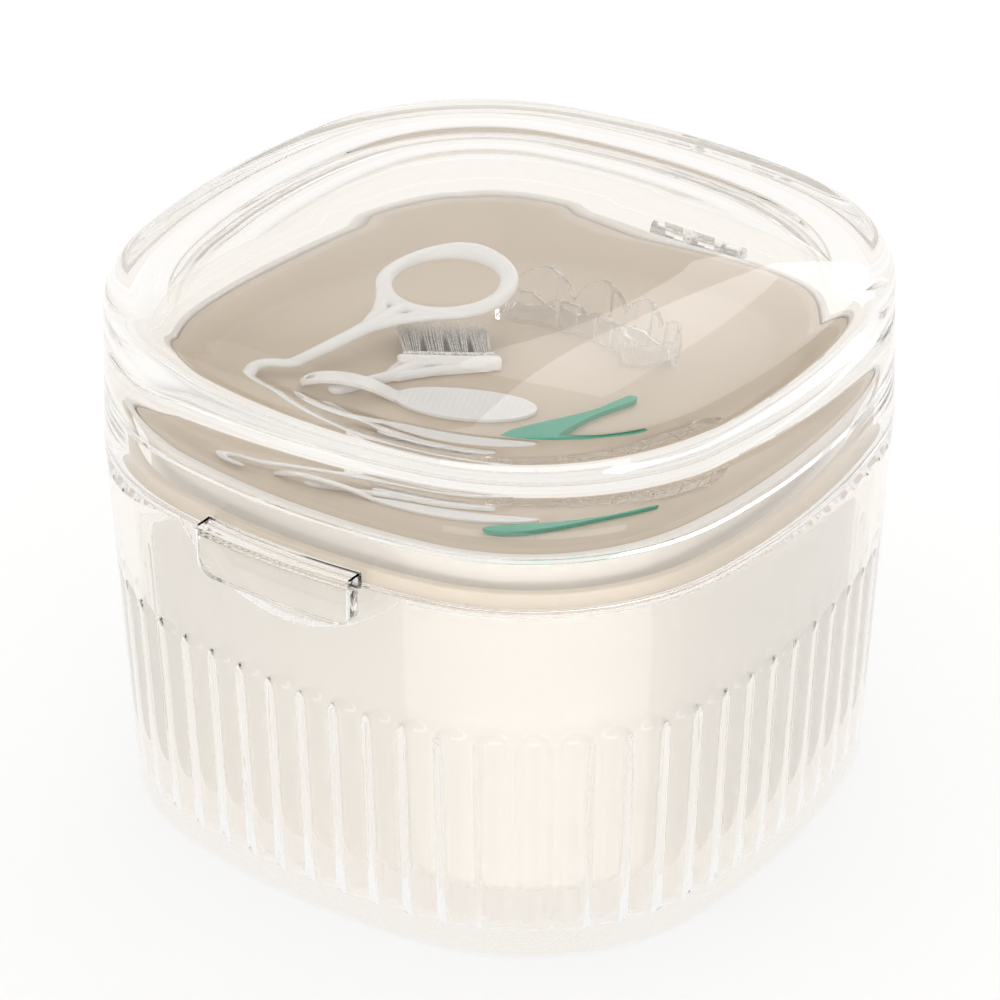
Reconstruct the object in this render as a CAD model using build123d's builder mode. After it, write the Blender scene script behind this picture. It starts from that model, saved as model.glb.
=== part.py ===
from build123d import *
import math
import os

# Retainer cleaning case, in millimetres. The origin is the middle of the base, on the surface
# that the case stands on. +Z is up, the lift tab faces -Y and the hinge is at +Y.

# Plan outline at the parting line: four bowed sides and four round corners
half_width = 50.0
side_radius = 108.3
corner_radius = 34.9

# Clear outer case
base_inset = 1.8
rim_height = 54.95
base_edge_radius = 1.6
case_floor = 3.0
case_wall = 3.0

# Flutes on the inside of the outer case
flute_count = 60
flute_depth = 0.85
flute_land = 0.3
flute_height = 33.0

# Finger recess under the lift tab
recess_width = 35.6
recess_drop = 8.4
recess_depth = 1.6

# Seal ring on the rim of the outer case
seal_inset = 2.3
seal_width = 1.2
seal_height = 2.3

# Clear lid, thick-walled, crowned on top and domed inside
parting_gap = 0.3
lid_height = 27.85
lid_draft = 1.35
lid_edge_radius = 4.2
lid_crown = 4.5
crown_power = 1.9
edge_steps = 6
crown_steps = 7
crown_smallest = 0.2
lid_wall = 3.1
seal_side_gap = 0.7
seal_top_gap = 4.85
dome_start = 7.55
dome_top_thickness = 5.1
dome_power = 2.55
dome_rings = 8
dome_smallest = 0.3

# Lift tab on the lid
tab_width = 24.6
tab_drop = 5.05
tab_rise = 2.05
tab_proud = 2.5
tab_gap = 0.3
tab_corner = 2.5

# Hinge at the rear
hinge_offset = 3.0
hinge_rise = 2.05
pin_radius = 1.0
pin_clearance = 0.05
pin_overhang = 0.2
knuckle_radius = 2.2
knuckle_root = 1.0
knuckle_gap = 0.2
lid_knuckle_space = 2.8
lid_knuckle_width = 3.4
lid_knuckle_rise = 4.5
case_knuckle_width = 3.6
case_knuckle_foot = 8.45
case_knuckle_drop = 0.5

# White inner tub
tub_side_gap = 2.3
tub_lift = 3.5
tub_neck = 6.05
tub_wall = 2.6
tub_floor = 1.6
tub_edge_radius = 4.0
foot_radius = 3.0
foot_spacing = 52.0
foot_gap = 0.3
drain_radius = 1.5
drain_pitch = 9.0
drain_count = 7

# Tray in the mouth of the tub
tray_rebate = 2.3
tray_rebate_wall = 1.3
tray_gap = 0.3
tray_thickness = 1.6
tray_brim = 1.9
tray_depth = 4.2
tray_slope = 4.0
tray_wall = 2.1
tray_floor_radius = 3.5

# Ring tool with a hooked end, raised at the ring
ring_centre = (-16.0, 10.0)
ring_tool_heading = 263.0
ring_tool_tilt = 8.0
ring_tool_thickness = 2.0
ring_radius = 10.0
ring_band = 2.6
ring_bar = 2.6
ring_bar_length = 32.0
hook_lead_radius = 3.0
hook_lead_turn = 60.0
hook_radius = 3.5
hook_turn = 170.0

# Brush lying on its side
brush_centre = (-5.4, -5.2)
brush_heading = 39.0
brush_head_length = 14.8
brush_head_depth = 2.8
brush_head_height = 3.1
brush_corner = 1.0
brush_grip_length = 10.0
brush_grip_width = 2.6
brush_grip_height = 1.4
brush_grip_turn = 36.0
brush_neck = (1.5, 5.1)

# Bristles in tufts across the brush head
bristle_length = 12.0
bristle_size = 0.18
bristle_pitch = 0.3
bristle_root = 0.8
tuft_columns = 4
tuft_rows = 2
tuft_spacing = 3.3
tuft_row_spacing = 1.5
tuft_across = 8
tuft_up = 5
tuft_base_height = 1.5

# Scoop with an arched handle
scoop_end = (-17.0, -25.8)
scoop_heading = 24.0
scoop_handle = 13.5
scoop_handle_width = 3.4
scoop_arch = 3.0
scoop_thickness = 1.2
scoop_blade_length = 20.5
scoop_blade_width = 11.0
scoop_hole = 0.8

# Leaf-shaped pick
pick_end = (16.5, -27.3)
pick_heading = 74.0
pick_length = 27.0
pick_width = 5.4
pick_stem = 1.4
pick_tip = 2.0
pick_thickness = 1.6

# Retainer: a length of arch with a pocket for each tooth, open side up
arch_centre = (-5.0, 0.0)
arch_outer = (32.0, 23.5)
arch_width = 7.6
arch_start = 31.0
arch_end = 106.0
tooth_count = 4
tooth_bulge = 0.5
retainer_wall = 0.8
retainer_height = 6.6
scallop_radius = 5.1

# Distances of the outline that follow from its three sizes
side_drop = side_radius - half_width
bend_reach = side_radius - corner_radius
corner_centre = (math.sqrt(2 * bend_reach**2 - side_drop**2) - side_drop) / 2
side_turn = math.atan2(corner_centre, corner_centre + side_drop)
quarter_turn = math.pi / 2

# Heights that follow from the sizes above
lid_bottom = rim_height + parting_gap
total_height = lid_bottom + lid_height
hinge_y = half_width + hinge_offset
hinge_z = rim_height + hinge_rise
tub_bottom = case_floor + tub_lift
tub_top = rim_height + tub_neck
tray_top = tub_top - tray_rebate + tray_gap + tray_thickness
tray_floor_top = tray_top - tray_depth
case_slope = base_inset / rim_height


def outline_point(inset, heading, share=1.0):
    """Point of the plan outline whose outward normal has this heading, from +Y towards +X."""
    quarter = round(heading / quarter_turn)
    local = heading - quarter * quarter_turn
    if abs(local) <= side_turn:
        across = (side_radius - inset) * math.sin(local)
        out = (side_radius - inset) * math.cos(local) - side_drop
    else:
        across = math.copysign(corner_centre, local) + (corner_radius - inset) * math.sin(local)
        out = corner_centre + (corner_radius - inset) * math.cos(local)
    turn = quarter * quarter_turn
    x = across * math.cos(turn) + out * math.sin(turn)
    y = out * math.cos(turn) - across * math.sin(turn)
    return (x * share, y * share)


def heading_after(share, inset):
    """Heading of the normal after this share of the way round, from the middle of the rear."""
    side_run = (side_radius - inset) * side_turn
    corner_run = (corner_radius - inset) * (quarter_turn / 2 - side_turn)
    eighth = side_run + corner_run
    quarter, along = divmod(share * 8 * eighth, 2 * eighth)
    past_corner = along > eighth
    if past_corner:
        along = 2 * eighth - along
    if along <= side_run:
        local = along / (side_radius - inset)
    else:
        local = side_turn + (along - side_run) / (corner_radius - inset)
    if past_corner:
        local = quarter_turn - local
    return quarter * quarter_turn + local


def plan(inset, share=1.0):
    """Plan outline as a face, moved in by the inset and scaled about the middle."""
    with BuildSketch() as outline:
        with BuildLine():
            for quarter in range(4):
                middle = quarter * quarter_turn
                ThreePointArc(
                    outline_point(inset, middle - side_turn, share),
                    outline_point(inset, middle, share),
                    outline_point(inset, middle + side_turn, share),
                )
                ThreePointArc(
                    outline_point(inset, middle + side_turn, share),
                    outline_point(inset, middle + quarter_turn / 2, share),
                    outline_point(inset, middle + quarter_turn - side_turn, share),
                )
        make_face()
    return outline.sketch


def fluted_plan(inset):
    """Plan outline with shallow round flutes cut outwards and a narrow land between them."""
    girth = 8 * (side_radius - inset) * side_turn
    girth += 8 * (corner_radius - inset) * (quarter_turn / 2 - side_turn)
    half_land = flute_land / girth / 2
    with BuildSketch() as outline:
        with BuildLine():
            for number in range(flute_count):
                start = heading_after(number / flute_count + half_land, inset)
                middle = heading_after((number + 0.5) / flute_count, inset)
                end = heading_after((number + 1) / flute_count - half_land, inset)
                following = heading_after((number + 1) % flute_count / flute_count + half_land, inset)
                ThreePointArc(
                    outline_point(inset, start),
                    outline_point(inset - flute_depth, middle),
                    outline_point(inset, end),
                )
                Line(outline_point(inset, end), outline_point(inset, following))
        make_face()
    return outline.sketch


def case_inset(height):
    """Inset of the outer case's drafted outside at this height, carried on above the rim."""
    return base_inset - case_slope * height


def lying_plane(place, heading, height, tilt=0.0):
    """Plane that a tool lies on: X along the tool, tipped down along X by the tilt."""
    turn = math.radians(heading)
    tip = math.radians(tilt)
    along = (math.cos(turn) * math.cos(tip), math.sin(turn) * math.cos(tip), -math.sin(tip))
    normal = (math.cos(turn) * math.sin(tip), math.sin(turn) * math.sin(tip), math.cos(tip))
    return Plane(origin=(place[0], place[1], height), x_dir=along, z_dir=normal)


os.makedirs("parts", exist_ok=True)

# Outer case: a drafted cup, fluted inside, with the finger recess and two hinge knuckles
with BuildPart() as finger_recess:
    with BuildSketch(Plane.XZ.offset(half_width / 2)):
        with Locations((0, rim_height - recess_drop)):
            Circle((recess_drop**2 + recess_width**2 / 4) / (2 * recess_drop), align=(Align.CENTER, Align.MIN))
    extrude(amount=half_width)
    with BuildSketch():
        add(plan(recess_depth))
    extrude(amount=total_height, mode=Mode.SUBTRACT)

with BuildPart() as outer_case:
    with BuildSketch():
        add(plan(base_inset))
    with BuildSketch(Plane.XY.offset(rim_height)):
        add(plan(0))
    loft(ruled=True)
    fillet(outer_case.faces().sort_by(Axis.Z)[0].edges(), base_edge_radius)
    with BuildSketch(Plane.XY.offset(case_floor)):
        add(plan(case_inset(case_floor) + case_wall))
    with BuildSketch(Plane.XY.offset(rim_height)):
        add(plan(case_wall))
    loft(ruled=True, mode=Mode.SUBTRACT)
    with BuildSketch(Plane.XY.offset(case_floor)):
        add(fluted_plan(case_inset(case_floor) + case_wall))
    with BuildSketch(Plane.XY.offset(case_floor + flute_height)):
        add(fluted_plan(case_inset(case_floor + flute_height) + case_wall))
    loft(ruled=True, mode=Mode.SUBTRACT)
    add(finger_recess.part, mode=Mode.SUBTRACT)
    case_knuckle_middle = lid_knuckle_space / 2 + lid_knuckle_width + knuckle_gap + case_knuckle_width / 2
    for side in (-1, 1):
        with BuildSketch(Plane.YZ.offset(side * case_knuckle_middle)):
            Polygon(
                (half_width - knuckle_root, rim_height - case_knuckle_foot),
                (half_width - knuckle_root, rim_height - case_knuckle_drop),
                (hinge_y - knuckle_radius * 0.82, hinge_z - knuckle_radius * 0.57),
                (hinge_y, hinge_z),
                (hinge_y + knuckle_radius * 0.86, hinge_z - knuckle_radius * 0.51),
                align=None,
            )
            with Locations((hinge_y, hinge_z)):
                Circle(knuckle_radius)
                Circle(pin_radius + pin_clearance, mode=Mode.SUBTRACT)
        extrude(amount=case_knuckle_width / 2, both=True)
outer_case.part.label = "outer_case"

# Soft seal ring that stands on the rim
with BuildPart() as seal_ring:
    with BuildSketch(Plane.XY.offset(rim_height)):
        add(plan(seal_inset))
        add(plan(seal_inset + seal_width), mode=Mode.SUBTRACT)
    extrude(amount=seal_height)
seal_ring.part.label = "seal_ring"

# Hinge pin through the knuckles of the case and the lid
with BuildPart() as hinge_pin:
    with BuildSketch(Plane.YZ):
        with Locations((hinge_y, hinge_z)):
            Circle(pin_radius)
    extrude(amount=case_knuckle_middle + case_knuckle_width / 2 + pin_overhang, both=True)
hinge_pin.part.label = "hinge_pin"

# Lift tab that hangs over the finger recess
with BuildPart() as lift_tab:
    with BuildSketch(Plane.XY.offset(lid_bottom - tab_drop)):
        add(plan(-tab_proud))
        add(plan(-tab_gap), mode=Mode.SUBTRACT)
    extrude(amount=tab_drop)
    with BuildSketch(Plane.XY.offset(lid_bottom)):
        add(plan(-tab_proud))
        add(plan(seal_inset - seal_side_gap), mode=Mode.SUBTRACT)
    extrude(amount=tab_rise)
    with BuildSketch(Plane.XZ.offset(half_width / 2)):
        with Locations((0, lid_bottom - tab_drop)):
            RectangleRounded(
                tab_width, 2 * (tab_drop + tab_rise), tab_corner, align=(Align.CENTER, Align.MIN)
            )
    extrude(amount=half_width, mode=Mode.INTERSECT)

# Clear lid: drafted sides, round edge, crowned top, a rebate for the seal and a domed hollow
edge_height = total_height - lid_crown - lid_edge_radius
edge_inset = lid_draft * (edge_height - lid_bottom) / lid_height + lid_edge_radius
edge_turn = math.pi / 2 - math.atan(lid_crown * crown_power / (half_width - edge_inset))
crown_inset = edge_inset - lid_edge_radius * math.cos(edge_turn)
crown_rise = lid_crown + lid_edge_radius * (1 - math.sin(edge_turn))
with BuildPart() as lid:
    with BuildSketch(Plane.XY.offset(lid_bottom)):
        add(plan(0))
    for step in range(edge_steps + 1):
        angle = edge_turn * step / edge_steps
        with BuildSketch(Plane.XY.offset(edge_height + lid_edge_radius * math.sin(angle))):
            add(plan(edge_inset - lid_edge_radius * math.cos(angle)))
    for step in range(1, crown_steps + 1):
        share = 1 - (1 - crown_smallest) * step / crown_steps
        fall = (share**crown_power - crown_smallest**crown_power) / (1 - crown_smallest**crown_power)
        with BuildSketch(Plane.XY.offset(total_height - crown_rise * fall)):
            add(plan(crown_inset, share))
    loft(ruled=True)
    with BuildSketch(Plane.XY.offset(lid_bottom)):
        add(plan(seal_inset - seal_side_gap))
    extrude(amount=rim_height + seal_height + seal_top_gap - lid_bottom, mode=Mode.SUBTRACT)
    with BuildSketch(Plane.XY.offset(lid_bottom)):
        add(plan(lid_wall))
    extrude(amount=dome_start, mode=Mode.SUBTRACT)
    dome_rise = lid_height - dome_top_thickness - dome_start
    dome_angle = math.acos(dome_smallest ** (dome_power / 2))
    for ring in range(dome_rings + 1):
        angle = dome_angle * ring / dome_rings
        ring_height = lid_bottom + dome_start + dome_rise * math.sin(angle) ** (2 / dome_power)
        with BuildSketch(Plane.XY.offset(ring_height)):
            add(plan(lid_wall, math.cos(angle) ** (2 / dome_power)))
    loft(ruled=True, mode=Mode.SUBTRACT)
    for side in (-1, 1):
        with BuildSketch(Plane.YZ.offset(side * (lid_knuckle_space + lid_knuckle_width) / 2)):
            Polygon(
                (half_width - knuckle_root, lid_bottom + parting_gap),
                (half_width - knuckle_root, hinge_z + lid_knuckle_rise),
                (hinge_y + knuckle_radius * 0.3, hinge_z + knuckle_radius * 0.95),
                (hinge_y, hinge_z - knuckle_radius),
                align=None,
            )
            with Locations((hinge_y, hinge_z)):
                Circle(knuckle_radius)
                Circle(pin_radius + pin_clearance, mode=Mode.SUBTRACT)
        extrude(amount=lid_knuckle_width / 2, both=True)
    add(lift_tab.part)
lid.part.label = "lid"

# Inner tub: a second cup on four feet, with a rebate for the tray and drain holes in its base
with BuildPart() as inner_tub:
    with BuildSketch(Plane.XY.offset(tub_bottom)):
        add(plan(case_inset(tub_bottom) + case_wall + tub_side_gap))
    with BuildSketch(Plane.XY.offset(tub_top)):
        add(plan(case_inset(tub_top) + case_wall + tub_side_gap))
    loft(ruled=True)
    fillet(inner_tub.faces().sort_by(Axis.Z)[0].edges(), tub_edge_radius)
    with BuildSketch(Plane.XY.offset(tub_bottom + tub_floor)):
        add(plan(case_inset(tub_bottom) + case_wall + tub_side_gap + tub_wall))
    with BuildSketch(Plane.XY.offset(tub_top)):
        add(plan(case_inset(tub_top) + case_wall + tub_side_gap + tub_wall))
    loft(ruled=True, mode=Mode.SUBTRACT)
    with BuildSketch(Plane.XY.offset(tub_top - tray_rebate)):
        add(plan(case_inset(tub_top) + case_wall + tub_side_gap + tray_rebate_wall))
    extrude(amount=tray_rebate, mode=Mode.SUBTRACT)
    with BuildSketch(Plane.XY.offset(case_floor + foot_gap)):
        with GridLocations(foot_spacing, foot_spacing, 2, 2):
            Circle(foot_radius)
    extrude(amount=tub_lift - foot_gap + tub_floor)
    with BuildSketch(Plane.XY.offset(tub_bottom)):
        with GridLocations(drain_pitch, drain_pitch, drain_count, drain_count):
            Circle(drain_radius)
    extrude(amount=tub_floor, mode=Mode.SUBTRACT)
inner_tub.part.label = "inner_tub"

# Tray: a brim that rests in the rebate and a shallow well with sloping sides
brim_inset = case_inset(tub_top) + case_wall + tub_side_gap + tray_rebate_wall + tray_gap
well_inset = brim_inset + tray_brim
well_fall = tray_slope / tray_depth
with BuildPart() as top_tray:
    with BuildSketch(Plane.XY.offset(tray_floor_top - tray_thickness)):
        add(plan(well_inset + well_fall * (tray_depth + tray_thickness) - tray_wall))
    with BuildSketch(Plane.XY.offset(tray_top - tray_thickness)):
        add(plan(well_inset + well_fall * tray_thickness - tray_wall))
    loft(ruled=True)
    with BuildSketch(Plane.XY.offset(tray_top - tray_thickness)):
        add(plan(brim_inset))
    extrude(amount=tray_thickness)
    with BuildSketch(Plane.XY.offset(tray_floor_top)):
        add(plan(well_inset + tray_slope))
    with BuildSketch(Plane.XY.offset(tray_top)):
        add(plan(well_inset))
    loft(ruled=True, mode=Mode.SUBTRACT)
    fillet(
        top_tray.faces().filter_by_position(Axis.Z, tray_floor_top - 0.01, tray_floor_top + 0.01).edges(),
        tray_floor_radius,
    )
top_tray.part.label = "top_tray"

# Ring tool: finger ring, bar and a curled hook whose end rests on the tray
hook_reach = ring_bar_length + hook_lead_radius + 2 * hook_radius
ring_plane = lying_plane(
    ring_centre,
    ring_tool_heading,
    tray_floor_top + tray_gap + hook_reach * math.sin(math.radians(ring_tool_tilt)),
    ring_tool_tilt,
)
with BuildPart() as ring_hook_tool:
    with BuildSketch(ring_plane):
        with BuildLine():
            bar = Line((ring_radius - ring_band / 2, 0), (ring_bar_length, 0))
            lead = JernArc(bar @ 1, bar % 1, hook_lead_radius, -hook_lead_turn)
            JernArc(lead @ 1, lead % 1, hook_radius, hook_turn)
        trace(line_width=ring_bar)
        Polygon(
            (ring_radius * 0.75, -ring_radius * 0.6),
            (ring_radius * 1.45, -ring_bar / 2),
            (ring_radius * 1.45, ring_bar / 2),
            (ring_radius * 0.75, ring_radius * 0.6),
            align=None,
        )
        Circle(ring_radius)
        Circle(ring_radius - ring_band, mode=Mode.SUBTRACT)
    extrude(amount=ring_tool_thickness)
ring_hook_tool.part.label = "ring_hook_tool"

# Brush on its side: bristles on the head's far side, a broad neck that narrows to a short grip
brush_plane = lying_plane(brush_centre, brush_heading, tray_floor_top)
grip_turn = math.radians(brush_grip_turn)
grip_side = brush_grip_width / 2
neck_x = -brush_head_length / 2 - brush_neck[0]
neck_y = -brush_neck[1]
grip_x = neck_x - brush_grip_length / 2 * math.cos(grip_turn)
grip_y = neck_y - brush_grip_length / 2 * math.sin(grip_turn)
with BuildPart() as brush_handle:
    with BuildSketch(brush_plane):
        RectangleRounded(brush_head_length, brush_head_depth, brush_corner)
        with Locations((0, brush_head_depth / 2 - bristle_root / 2)):
            Rectangle(brush_head_length - 2 * brush_corner, bristle_root, mode=Mode.SUBTRACT)
    extrude(amount=brush_head_height)
    with BuildSketch(brush_plane):
        Polygon(
            (brush_head_length / 2 - 2 * brush_corner, -brush_head_depth / 4),
            (-brush_head_length / 2 + brush_corner, brush_head_depth / 4),
            (neck_x - grip_side * math.sin(grip_turn), neck_y + grip_side * math.cos(grip_turn)),
            (neck_x + grip_side * math.sin(grip_turn), neck_y - grip_side * math.cos(grip_turn)),
            align=None,
        )
        with Locations((grip_x, grip_y)):
            SlotOverall(brush_grip_length + brush_grip_width, brush_grip_width, rotation=brush_grip_turn)
    extrude(amount=brush_grip_height)
brush_handle.part.label = "brush_handle"

# Bristles: tufts of square strands, fused to the slice of the head that holds them
tuft_face = Plane(
    origin=brush_plane.from_local_coords((0, brush_head_depth / 2 - bristle_root / 2, 0)),
    x_dir=brush_plane.x_dir,
    z_dir=brush_plane.y_dir,
)
with BuildPart() as brush_bristles:
    with BuildSketch(brush_plane):
        with Locations((0, brush_head_depth / 2 - bristle_root / 2)):
            Rectangle(brush_head_length - 2 * brush_corner, bristle_root)
    extrude(amount=brush_head_height)
    with BuildSketch(tuft_face):
        with Locations((0, -tuft_base_height)):
            with GridLocations(tuft_spacing, tuft_row_spacing, tuft_columns, tuft_rows):
                with GridLocations(bristle_pitch, bristle_pitch, tuft_across, tuft_up):
                    Rectangle(bristle_size, bristle_size)
    extrude(amount=bristle_root / 2 + bristle_length)
brush_bristles.part.label = "brush_bristles"

# Scoop: an oval blade on the tray and a narrow handle that arches up from its neck
scoop_plane = lying_plane(scoop_end, scoop_heading, tray_floor_top)
scoop_side = Plane(origin=scoop_plane.origin, x_dir=scoop_plane.x_dir, z_dir=-scoop_plane.y_dir)
scoop_length = scoop_handle + scoop_blade_length
with BuildPart() as scoop:
    with BuildSketch(scoop_side):
        with BuildLine():
            under = ThreePointArc((0, 0), (scoop_handle / 2, scoop_arch), (scoop_handle, 0))
            Line(under @ 1, (scoop_length, 0))
            Line((scoop_length, 0), (scoop_length, scoop_thickness))
            Line((scoop_length, scoop_thickness), (scoop_handle, scoop_thickness))
            ThreePointArc(
                (scoop_handle, scoop_thickness),
                (scoop_handle / 2, scoop_arch + scoop_thickness),
                (0, scoop_thickness),
            )
            Line((0, scoop_thickness), (0, 0))
        make_face()
    extrude(amount=scoop_blade_width, both=True)
    with BuildSketch(scoop_plane):
        with Locations((scoop_handle + scoop_blade_length / 2, 0)):
            Ellipse(scoop_blade_length / 2, scoop_blade_width / 2)
        with Locations((scoop_handle / 2 + scoop_handle_width / 2, 0)):
            SlotOverall(scoop_handle + scoop_handle_width, scoop_handle_width)
        with Locations((scoop_handle_width * 0.55, 0)):
            Circle(scoop_hole, mode=Mode.SUBTRACT)
    extrude(amount=scoop_arch + scoop_thickness, mode=Mode.INTERSECT)
scoop.part.label = "scoop"

# Pick: a leaf that narrows to a stem with a small round end
pick_plane = lying_plane(pick_end, pick_heading, tray_floor_top)
with BuildPart() as pick:
    with BuildSketch(pick_plane):
        with BuildLine():
            leaf = Spline(
                (0, 0),
                (pick_length * 0.3, pick_width / 2),
                (pick_length * 0.78, pick_stem / 2),
                (pick_length - pick_tip / 2, pick_tip / 2),
                tangents=((0.3, 1), (1, 0)),
            )
            ThreePointArc(
                leaf @ 1,
                (pick_length, 0),
                (pick_length - pick_tip / 2, -pick_tip / 2),
            )
            Spline(
                (pick_length - pick_tip / 2, -pick_tip / 2),
                (pick_length * 0.78, -pick_stem / 2),
                (pick_length * 0.3, -pick_width / 2),
                (0, 0),
                tangents=((-1, 0), (-0.3, 1)),
            )
        make_face()
    extrude(amount=pick_thickness)
pick.part.label = "pick"


def arch_point(angle, inset):
    """Point of the arch in its own plane, moved in from the outer line by the inset."""
    turn = math.radians(angle)
    return ((arch_outer[0] - inset) * math.cos(turn), (arch_outer[1] - inset) * math.sin(turn))


def arch_band(inset):
    """Face of the arch with a bulge for each tooth, moved in all round by the inset."""
    start = arch_start + math.degrees(inset / arch_outer[1])
    end = arch_end - math.degrees(inset / arch_outer[0])
    half_band = arch_width / 2 - inset
    with BuildSketch() as band:
        with BuildLine():
            outer = Spline(*[arch_point(start + (end - start) * step / 8, inset) for step in range(9)])
            inner = Spline(
                *[arch_point(start + (end - start) * step / 8, arch_width - inset) for step in range(9)]
            )
            Line(outer @ 0, inner @ 0)
            Line(outer @ 1, inner @ 1)
        make_face()
        for tooth in range(tooth_count):
            middle = arch_start + (arch_end - arch_start) * (tooth + 0.5) / tooth_count
            with Locations(arch_point(middle, arch_width / 2)):
                Circle(half_band + tooth_bulge)
    return band.sketch


# Retainer: trough round the arch, its rim cut to a row of humps
retainer_plane = lying_plane(arch_centre, 0, tray_floor_top)
with BuildPart() as hump_row:
    for tooth in range(tooth_count):
        middle = arch_start + (arch_end - arch_start) * (tooth + 0.5) / tooth_count
        foot = retainer_plane.from_local_coords((*arch_point(middle, arch_width / 2), 0))
        head = retainer_plane.from_local_coords((*arch_point(middle, 0), 0))
        with BuildSketch(Plane(origin=foot, x_dir=(0, 0, 1), z_dir=head - foot)):
            with Locations((retainer_height - scallop_radius, 0)):
                Circle(scallop_radius)
            Rectangle(
                retainer_height - scallop_radius,
                2 * scallop_radius,
                align=(Align.MIN, Align.CENTER),
            )
        extrude(amount=arch_width, both=True)

with BuildPart() as retainer:
    with BuildSketch(retainer_plane):
        add(arch_band(0))
    extrude(amount=retainer_height)
    with BuildSketch(retainer_plane.offset(retainer_wall)):
        add(arch_band(retainer_wall))
    extrude(amount=retainer_height, mode=Mode.SUBTRACT)
    add(hump_row.part, mode=Mode.INTERSECT)
retainer.part.label = "retainer"

pieces = [
    outer_case,
    seal_ring,
    hinge_pin,
    lid,
    inner_tub,
    top_tray,
    ring_hook_tool,
    brush_handle,
    brush_bristles,
    scoop,
    pick,
    retainer,
]
for piece in pieces:
    export_step(piece.part, f"parts/{piece.part.label}.step")
    print(piece.part.label, "solids", len(piece.part.solids()), "volume", round(piece.part.volume, 1))
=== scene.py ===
# %% [markdown]
# A clear plastic case for cleaning a dental retainer. A square-round cup, fluted inside, holds a
# white tub. A tan tray closes the tub, with a few small tools and a clear retainer on it, and a
# thick clear lid with a domed hollow is hinged over them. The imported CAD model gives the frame:
# every piece made here sits where its CAD node sits, in metres, and moves with its body.

# %% Load the frame
import bpy
import bmesh
import math
from functools import partial
from mathutils import Matrix, Vector


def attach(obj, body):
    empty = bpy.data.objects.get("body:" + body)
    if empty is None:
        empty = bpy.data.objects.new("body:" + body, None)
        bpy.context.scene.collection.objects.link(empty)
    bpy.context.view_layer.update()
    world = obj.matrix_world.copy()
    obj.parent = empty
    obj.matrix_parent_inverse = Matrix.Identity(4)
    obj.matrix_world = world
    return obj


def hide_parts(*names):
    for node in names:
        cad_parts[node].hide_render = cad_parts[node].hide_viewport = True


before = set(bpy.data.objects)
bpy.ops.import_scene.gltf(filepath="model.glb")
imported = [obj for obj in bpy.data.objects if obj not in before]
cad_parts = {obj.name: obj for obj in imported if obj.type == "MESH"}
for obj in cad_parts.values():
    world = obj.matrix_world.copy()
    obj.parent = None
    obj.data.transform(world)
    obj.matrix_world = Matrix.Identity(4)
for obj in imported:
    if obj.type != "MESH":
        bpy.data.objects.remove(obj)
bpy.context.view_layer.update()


def configure(thing, **settings):
    """Sets these properties of a Blender object or data block and returns it."""
    for key, value in settings.items():
        setattr(thing, key, value)
    return thing


# %% [markdown]
# The camera comes first, because everything is judged through it. It stands half a metre from the
# middle of the case with a long lens, turned 34.5 degrees round from the front and 30.6 degrees
# up, which is the view of the photograph.

# %% Camera
MM = 0.001
CAMERA_TURN = math.radians(34.526)
CAMERA_RISE = math.radians(30.63)
CAMERA_DISTANCE = 499.183
LOOK_AT = (-0.329, 0.0, 39.923)
camera_back = Vector((
    math.sin(CAMERA_TURN) * math.cos(CAMERA_RISE),
    -math.cos(CAMERA_TURN) * math.cos(CAMERA_RISE),
    math.sin(CAMERA_RISE),
))
camera_data = configure(bpy.data.cameras.new("camera"), sensor_width=36.0, lens=128.86,
                        clip_start=0.01)
camera = bpy.data.objects.new("camera", camera_data)
camera.location = (Vector(LOOK_AT) + camera_back * CAMERA_DISTANCE) * MM
camera.rotation_euler = camera_back.to_track_quat("Z", "Y").to_euler()
bpy.context.scene.collection.objects.link(camera)
bpy.context.scene.camera = camera
print("camera at", [round(value, 3) for value in camera.location])

# %% [markdown]
# Nearly every large piece has the same plan: four bowed sides joined by four round corners. A
# point of that plan is named by the direction in which its wall faces. Moving the plan in by an
# inset keeps those directions, so rings of the same directions join into clean quads.

# %% The plan outline
HALF_WIDTH = 50.0
SIDE_RADIUS = 108.3
CORNER_RADIUS = 34.9
QUARTER = math.pi / 2
side_drop = SIDE_RADIUS - HALF_WIDTH
bend_reach = SIDE_RADIUS - CORNER_RADIUS
corner_centre = (math.sqrt(2 * bend_reach**2 - side_drop**2) - side_drop) / 2
side_turn = math.atan2(corner_centre, corner_centre + side_drop)


def plan_point(inset, heading, share=1.0):
    """Point of the plan, in mm, whose wall faces this way: 0 is the rear, a quarter turn is +X."""
    quarter = round(heading / QUARTER)
    local = heading - quarter * QUARTER
    if abs(local) <= side_turn:
        across = (SIDE_RADIUS - inset) * math.sin(local)
        out = (SIDE_RADIUS - inset) * math.cos(local) - side_drop
    else:
        across = math.copysign(corner_centre, local) + (CORNER_RADIUS - inset) * math.sin(local)
        out = corner_centre + (CORNER_RADIUS - inset) * math.cos(local)
    turn = quarter * QUARTER
    return (
        (across * math.cos(turn) + out * math.sin(turn)) * share,
        (out * math.cos(turn) - across * math.sin(turn)) * share,
    )


def heading_after(share, inset):
    """Direction of the wall after this share of the way round, from the middle of the rear."""
    side_run = (SIDE_RADIUS - inset) * side_turn
    corner_run = (CORNER_RADIUS - inset) * (QUARTER / 2 - side_turn)
    eighth = side_run + corner_run
    quarter, along = divmod(share * 8 * eighth, 2 * eighth)
    past = along > eighth
    along = 2 * eighth - along if past else along
    if along <= side_run:
        local = along / (SIDE_RADIUS - inset)
    else:
        local = side_turn + (along - side_run) / (CORNER_RADIUS - inset)
    return quarter * QUARTER + (QUARTER - local if past else local)


print("corner centre", round(corner_centre, 2), "mm from the middle")

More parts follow.
